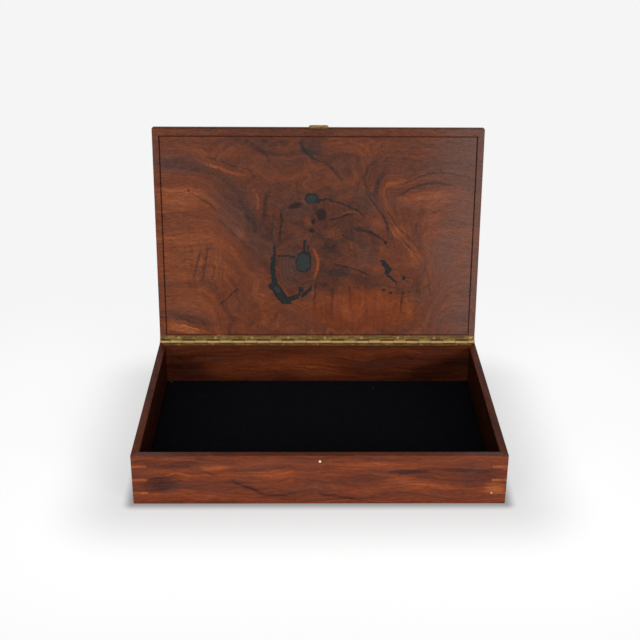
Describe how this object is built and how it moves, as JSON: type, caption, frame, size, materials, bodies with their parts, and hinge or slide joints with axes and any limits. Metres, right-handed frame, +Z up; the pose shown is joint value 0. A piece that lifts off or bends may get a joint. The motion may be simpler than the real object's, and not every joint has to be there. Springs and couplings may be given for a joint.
{
  "type": "wooden display box",
  "caption": "Shallow wooden display box with keyed mitre corners, a felt floor, and a thick figured lid on a full-length brass hinge, held shut by a small sprung brass catch.",
  "frame": {"origin": "middle of the body's base, in the plane that the walls stand on", "axes": "+Z up, -Y out of the front wall, +X to the right seen from the front"},
  "size_m": [0.33, 0.2588, 0.2783],
  "materials": {
    "body_wood": "oiled, satin",
    "lid_wood": "oiled, satin, strongly figured",
    "key_wood": "oiled, satin",
    "panel_wood": "plain plywood",
    "felt": "matt black felt",
    "brass": "aged, unpolished"
  },
  "bodies": {
    "box": {"front_wall": "body_wood", "back_wall": "body_wood", "left_wall": "body_wood", "right_wall": "body_wood", "bottom_panel": "panel_wood", "felt_lining": "felt", "key_front_left_1": "key_wood", "key_front_left_2": "key_wood", "key_front_left_3": "key_wood", "key_front_right_1": "key_wood", "key_front_right_2": "key_wood", "key_front_right_3": "key_wood", "key_back_left_1": "key_wood", "key_back_left_2": "key_wood", "key_back_left_3": "key_wood", "key_back_right_1": "key_wood", "key_back_right_2": "key_wood", "key_back_right_3": "key_wood", "hinge_leaf_body": "brass", "hinge_screws_body": "brass", "hinge_pin": "brass", "strike_stud": "brass"},
    "lid": {"lid_panel": "lid_wood", "hinge_leaf_lid": "brass", "hinge_screws_lid": "brass", "catch_plate": "brass", "catch_pins": "brass"},
    "catch": {"catch_tongue": "brass"}
  },
  "joints": [
    {"name": "lid_hinge", "type": "hinge", "parent": "box", "child": "lid", "pos_m": [0, 0.11055, 0.0505], "axis": [1, 0, 0], "range_deg": [0, 96.91]},
    {"name": "catch_flex", "type": "hinge", "parent": "lid", "child": "catch", "pos_m": [0, 0.13649, 0.27289], "axis": [-1, 0, 0], "range_deg": [0, 20], "stiffness_Nm_per_rad": 0.08}
  ]
}
